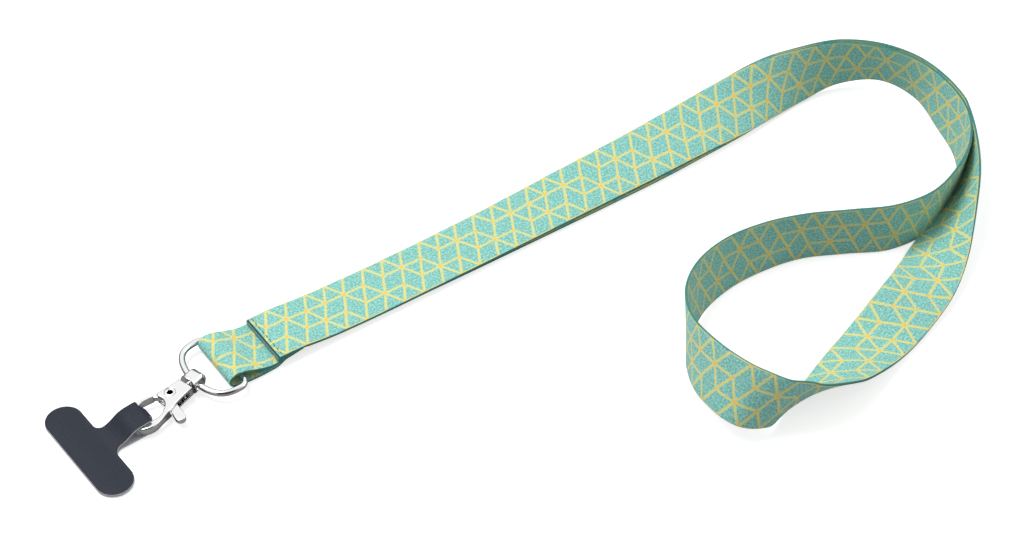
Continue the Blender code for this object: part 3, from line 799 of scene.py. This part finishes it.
def make_swivel_eye():
    head = rod(EYE_OUTER, -EYE_HALF, EYE_HALF, "Y")
    neck = box((0, -EYE_HALF, -EYE_OUTER), (EYE_NECK, EYE_HALF, EYE_OUTER))
    ball = turned(EYE_BALL)
    base = turned(EYE_BASE)
    hole = rod(EYE_HOLE, -CUT, CUT, "Y")
    steps = [("UNION", neck), ("INTERSECT", ball), ("UNION", base), ("DIFFERENCE", hole)]
    for side in (-1, 1):
        flare = rod(*FLARE, "Y", top=FLARE_MOUTH, at=(0, FLARE_FROM, 0))
        if side < 0:
            flare.transform(Matrix.Rotation(pi, 4, "X"))
        steps.append(("DIFFERENCE", flare))
    steps.append(("UNION", turned(EYE_POST)))
    mesh = combine(head, *steps)
    show("swivel_eye_post", mesh, [CHROME], "eye", ["swivel_eye"], hook_frame())


def hook_plan():
    plan = [(3.4, -2.85), (3.8, -2.85), (8.7, -3.55)]
    plan += arc((11.1, -3.05), 1.15, 195, 90, 6)
    plan += [(12.05, -1.3), (12.5, -0.1), (13.3, 0.95), (14.7, 1.85), (17.2, 2.6)]
    plan += arc(BOW_AT, BOW_INNER, -8, NOSE_FULL, 30)
    plan += arc(BOW_AT, NOSE_SPLIT, NOSE_FULL, NOSE_END, 3)
    plan += arc(BOW_AT, BOW_OUTER, NOSE_END, -4, 36)
    plan += [(17.1, 3.95), (13.7, 3.55), (9.2, 2.95), (3.8, 2.75), (3.4, 2.75)]
    return plan


def hook_half(u):
    share = min(max((u - TAPER[0]) / (TAPER[1] - TAPER[0]), 0), 1)
    share = share * share * (3 - 2 * share)
    return HOOK_HALF + (BOW_HALF - HOOK_HALF) * share


def make_hook_body():
    mesh = plate(rounded(hook_plan(), 2), HOOK_HALF, HOOK_RIM, 5)
    for vertex in mesh.vertices:
        vertex.co.z *= hook_half(vertex.co.x / MM) / HOOK_HALF
    at = (*RIVET_AT, 0)
    depth = HOOK_HALF - RIVET_HEAD_THICK - 0.1
    head = RIVET_HEAD + 0.12
    mesh = combine(
        mesh,
        ("UNION", turned(COLLAR)),
        ("DIFFERENCE", box((SLOT[0], -6, -SLOT_HALF), (SLOT[1], 6, SLOT_HALF))),
        ("DIFFERENCE", rod(POST_HEAD_BORE, 4.8, 6.6)),
        ("DIFFERENCE", rod(POST_BORE, 2, 5)),
        ("DIFFERENCE", rod(RIVET_SHANK + 0.1, -CUT, CUT, "Z", at=at)),
        ("DIFFERENCE", rod(head, depth, CUT, "Z", at=at)),
        ("DIFFERENCE", rod(head, -CUT, -depth, "Z", at=at)),
    )
    show("hook_casting", mesh, [CHROME], "hook", ["hook_body"], hook_frame())


def make_rivet():
    top = HOOK_HALF
    under = top - RIVET_HEAD_THICK
    outer = [
        (top - 0.12, RIVET_BORE),
        (top, RIVET_BORE + 0.14),
        (top, RIVET_HEAD - 0.3),
        (top - 0.1, RIVET_HEAD - 0.05),
        (top - 0.2, RIVET_HEAD),
        (under, RIVET_HEAD),
        (under, RIVET_SHANK),
    ]
    profile = outer + [(-z, r) for z, r in outer[::-1]]
    body = bmesh.new()
    rings = []
    for z, r in profile:
        rings.append([body.verts.new(spot) for spot in circle(r, z, RIVET_SIDES)])
    for first, second in zip(rings, rings[1:] + rings[:1]):
        for k in range(RIVET_SIDES):
            nxt = (k + 1) % RIVET_SIDES
            body.faces.new((first[k], first[nxt], second[nxt], second[k]))
    # Faces inside the bore take the near black bore look, painted shade of the hollow.
    for face in body.faces:
        middle = face.calc_center_median()
        inside = abs(middle.z) < top * 0.97 * MM and middle.xy.length < RIVET_BORE * 1.01 * MM
        face.material_index = 1 if inside else 0
    bmesh.ops.recalc_face_normals(body, faces=body.faces)
    at = hook_frame() @ Matrix.Translation(Vector((*RIVET_AT, 0)) * MM)
    show("tubular_rivet", to_mesh(body), [CHROME, BORE_SHADE], "hook", ["gate_rivet"], at)


def gate_arm_plan():
    plan = [(12.75, -5.3), (16.0, -6.5), (18.2, -7.0)]
    plan += arc(BOW_AT, BOW_OUTER - 0.05, 196, NOSE_END + 3, 1)
    plan += arc(BOW_AT, NOSE_SPLIT - 0.25, NOSE_END + 3, NOSE_FULL + 8, 3)
    plan += arc(BOW_AT, BOW_INNER + 0.05, NOSE_FULL + 8, 194, 3)
    plan += [(17.0, -5.75), (14.6, -4.95), (12.75, -4.2)]
    return plan


def lever_plan():
    plan = arc(RIVET_AT, HUB_RADIUS, 300, 195, 8)
    plan += [(10.6, -4.35), (12.9, -5.33), (13.2, -4.5), (12.1, -3.2)]
    plan += arc(RIVET_AT, HUB_RADIUS, 110, 75, 2)
    plan += [(13.6, 3.0), (13.9, 4.4), (14.9, 6.6)]
    plan += arc((13.35, 7.15), 1.65, 75, -75, 8)
    plan += [(10.9, 4.4), (10.4, 3.0), (8.6, 1.3)]
    return plan


def make_gate():
    at = (*RIVET_AT, 0)
    x, y = RIVET_AT
    steps = [
        ("UNION", plate(rounded(gate_arm_plan(), 1), GATE_HALF, 0.12, 2)),
        ("DIFFERENCE", rod(HUB_HOLE, -CUT, CUT, "Z", at=at)),
        ("DIFFERENCE", rod(POCKET_RADIUS, POCKET_FLOOR, CUT, "Z", at=at)),
    ]
    for side in (-1, 1):
        leg = y + side * SPRING_RADIUS
        low = (x - CUT, leg - LEG_WAY, POCKET_FLOOR)
        steps.append(("DIFFERENCE", box(low, (x, leg + LEG_WAY, CUT))))
    mesh = combine(plate(rounded(lever_plan(), 2), LEVER_HALF, 0.25, 4), *steps)
    show("gate_lever_strip", mesh, [CHROME], "gate", ["gate_lever"], hook_frame())


def make_gate_spring():
    x, y = RIVET_AT
    steps = int(SPRING_TURNS * 32)
    points = [(x - SPRING_LEG, y - SPRING_RADIUS, SPRING_LOW)]
    for k in range(steps + 1):
        turn = 2 * pi * SPRING_TURNS * k / steps
        height = SPRING_LOW + SPRING_PITCH * turn / (2 * pi)
        points.append((x + SPRING_RADIUS * sin(turn), y - SPRING_RADIUS * cos(turn), height))
    points.append((points[-1][0] - SPRING_LEG, points[-1][1], points[-1][2]))
    mesh = wire(points, SPRING_WIRE, sides=3)
    show("gate_spring_wire", mesh, [WIRE_LOOK], "hook", ["gate_spring"], hook_frame())


# ------------------------------------------------------------------ tether tab


def fold_path():
    radius = (LAYER_TOP - LAYER_LOW) / 2
    turn_x = FOLD_REACH - radius - SHEET / 2
    far = -BAR_WIDTH - 1
    upper = resample(
        [
            (far, LAYER_BAR, 0),
            (-3, LAYER_BAR, 0),
            (-0.6, LAYER_BAR + 0.05, 0),
            (3.6, (LAYER_BAR + LAYER_TOP) / 2 - 0.85, 0),
            (SHOULDER, LAYER_TOP - 0.6, 0),
            (turn_x, LAYER_TOP, 0),
        ],
        0.15,
    )[:, :2]
    middle = (turn_x, (LAYER_TOP + LAYER_LOW) / 2)
    bend = np.array(arc(middle, radius, 0, 180, 28))[1:]
    points = np.vstack([upper, bend, [(far, LAYER_LOW)]])
    way = np.concatenate([[0], np.cumsum(np.linalg.norm(np.diff(points, axis=0), axis=1))])
    upper_bar = np.interp(0, points[: len(upper), 0], way[: len(upper)])
    middle_way = (upper_bar + way[-1] + far) / 2
    apex = np.interp(len(upper) + 13, range(len(way)), middle_way - way)
    return np.column_stack([middle_way - way, points])[::-1], middle_way - upper_bar, float(apex)


PATH, FOLD_LENGTH, FOLD_AT = fold_path()


def relief(side, depth):
    half = STEM_WIDTH / 2
    angles = [pi * (k / 24 - 0.5) for k in range(25)]
    return [(FOLD_AT + NOTCH_HALF * sin(a), side * (half - depth * cos(a) ** 0.4)) for a in angles]


def sheet_outline():
    centre = FOLD_LENGTH + BAR_WIDTH / 2
    reach = (BAR_LENGTH - BAR_WIDTH) / 2
    upper = arc((FOLD_LENGTH - STEM_FILLET, STEM_WIDTH / 2 + STEM_FILLET), STEM_FILLET, 180, 90, 10)
    upper += arc((centre, reach), BAR_WIDTH / 2, -90, 90, 32)
    right = upper + [(p, -y) for p, y in upper[::-1]]
    left = [(-p, y) for p, y in right[::-1]]
    return right + relief(-1, NOTCH_SPINE)[::-1] + left + relief(1, NOTCH_GATE)


def on_fold(p):
    """Where the sheet's length p lies in side view, and the way its outer face looks there."""
    way = PATH[:, 0]
    here = np.array([np.interp(p, way, PATH[:, k]) for k in (1, 2)])
    before, after = [
        np.array([np.interp(q, way, PATH[:, k]) for k in (1, 2)]) for q in (p - 0.2, p + 0.2)
    ]
    ahead = (after - before) / np.linalg.norm(after - before)
    return here, np.array((ahead[1], -ahead[0]))


def tab_frame():
    """The tether tab's place: origin at the inner edge of its bar, X towards the hook."""
    return hem_frame(*TAB_AT, 0) @ Matrix.Rotation(radians(TAB_YAW), 4, "Z")


def make_tab():
    body = bmesh.new()
    body.from_mesh(plate(sheet_outline(), SHEET / 2, SHEET_RIM, 1))
    for k in range(-22, 80):
        everything = body.verts[:] + body.edges[:] + body.faces[:]
        plane = (k * FOLD_CUT * MM, 0, 0)
        bmesh.ops.bisect_plane(body, geom=everything, plane_co=plane, plane_no=(1, 0, 0), dist=1e-8)
    body.normal_update()
    for face in body.faces:
        face.material_index = 0 if face.normal.z > 0.5 else 1
    for vertex in body.verts:
        here, out = on_fold(vertex.co.x / MM)
        spot = here + out * vertex.co.z / MM
        vertex.co.x = spot[0] * MM
        vertex.co.z = spot[1] * MM
    bmesh.ops.triangulate(body, faces=[face for face in body.faces if len(face.verts) > 4])
    bmesh.ops.recalc_face_normals(body, faces=body.faces)
    at = tab_frame()
    show("folded_tab", to_mesh(body), [TAB_LOOK, TAB_BACK], "tab", ["tether_tab"], at)
    reach = (BAR_LENGTH - BAR_WIDTH) / 2
    film = arc((-BAR_WIDTH / 2, reach), BAR_WIDTH / 2 - FILM_INSET, -90, 90, 24)
    film += [(u, -v) for u, v in film[::-1]]
    at = at @ Matrix.Translation((0, 0, (LAYER_LOW + LAYER_BAR) / 2 * MM))
    gap = (LAYER_BAR - LAYER_LOW - SHEET) / 2 - 0.01
    show("tab_bond", plate(film, gap), [FILM_LOOK], "tab", ["tab_bond_film"], at)


# ------------------------------------------------------------------ stage, light and camera


def make_stage():
    body = bmesh.new()
    bmesh.ops.create_grid(body, x_segments=1, y_segments=1, size=3.0)
    floor = bpy.data.objects.new("floor", to_mesh(body))
    floor.location.z = -FLOOR_DROP
    bpy.context.scene.collection.objects.link(floor)
    n = Nodes("floor")
    ray = n.add("ShaderNodeLightPath").outputs
    shade = n.mix(ray["Is Glossy Ray"], rgba((FLOOR_SHADE,) * 3), rgba((FLOOR_REFLECTED,) * 3))
    n.set(Base_Color=shade, Roughness=0.9)
    direct = n.math("SUBTRACT", 1.0, n.math("MAXIMUM", ray["Is Glossy Ray"], ray["Is Diffuse Ray"]))
    n.feed(n.shader.inputs["Emission Color"], rgba((1.0, 1.0, 1.0)))
    n.feed(n.shader.inputs["Emission Strength"], n.math("MULTIPLY", direct, FLOOR_GLOW))
    floor.data.materials.append(n.material)


def softbox(name, at, aim, size, power):
    data = bpy.data.lights.new(name, "AREA")
    data.shape = "RECTANGLE"
    data.size, data.size_y = size
    data.energy = power
    lamp = bpy.data.objects.new(name, data)
    bpy.context.scene.collection.objects.link(lamp)
    lamp.location = at
    lamp.rotation_euler = (Vector(aim) - Vector(at)).to_track_quat("-Z", "Y").to_euler()


def make_light():
    """An even bright room, which shiny metal sees with dark cards at its front and its horizon."""
    world = bpy.data.worlds.new("studio")
    bpy.context.scene.world = world
    world.use_nodes = True
    tree = world.node_tree

    def math(operation, a, b=0.0):
        node = tree.nodes.new("ShaderNodeMath")
        node.operation = operation
        for socket, value in zip(node.inputs, (a, b)):
            if isinstance(value, bpy.types.NodeSocket):
                tree.links.new(value, socket)
            else:
                socket.default_value = value
        return node.outputs[0]

    def step(value, low, high):
        node = tree.nodes.new("ShaderNodeMapRange")
        node.inputs[1].default_value = low
        node.inputs[2].default_value = high
        tree.links.new(value, node.inputs[0])
        return node.outputs[0]

    towards = tree.nodes.new("ShaderNodeTexCoord").outputs["Generated"]
    facing = tree.nodes.new("ShaderNodeVectorMath")
    facing.operation = "DOT_PRODUCT"
    facing.inputs[1].default_value = Vector(DARK_CARD).normalized()
    tree.links.new(towards, facing.inputs[0])
    split = tree.nodes.new("ShaderNodeSeparateXYZ")
    tree.links.new(towards, split.inputs[0])
    card = step(facing.outputs["Value"], 0.86, 0.7)
    horizon = step(split.outputs[2], 0.16, 0.4)
    lit = math("MULTIPLY", math("MULTIPLY", card, horizon), REFLECTED - DARKEST)
    seen = math("ADD", lit, DARKEST)
    glossy = tree.nodes.new("ShaderNodeLightPath").outputs["Is Glossy Ray"]
    height = math("MAXIMUM", split.outputs[2], 0.0)
    overhead = math("ADD", math("MULTIPLY", height, 1.0 - ROOM_SIDES), ROOM_SIDES)
    plain = math("MULTIPLY", math("MULTIPLY", math("SUBTRACT", 1.0, glossy), overhead), ROOM)
    strength = math("ADD", plain, math("MULTIPLY", glossy, seen))
    background = tree.nodes["Background"]
    background.inputs[0].default_value = (1.0, 1.0, 1.0, 1.0)
    tree.links.new(strength, background.inputs[1])
    softbox("key", (-0.3, 0.35, 1.0), (0, 0, 0), (0.5, 0.5), 9.5)
    softbox("fill", (0.9, -0.35, 0.6), (0, 0, 0), (0.9, 0.6), 2.2)


def make_camera():
    data = bpy.data.cameras.new("camera")
    data.lens = LENS
    data.sensor_width = 36
    data.clip_start = 0.02
    camera = bpy.data.objects.new("camera", data)
    bpy.context.scene.collection.objects.link(camera)
    shift = Vector((HEM_AT[0], HEM_AT[1], 0))
    at = (Vector(CAMERA_AT) + shift) * MM
    aim = (Vector(CAMERA_AIM) + shift) * MM
    camera.location = at
    camera.rotation_euler = (aim - at).to_track_quat("-Z", "Y").to_euler()
    bpy.context.scene.camera = camera


make_webbing()
make_stitches()
make_d_ring()
make_swivel_eye()
make_hook_body()
make_rivet()
make_gate()
make_gate_spring()
make_tab()
make_stage()
make_light()
make_camera()
bpy.context.scene.view_settings.view_transform = "Standard"
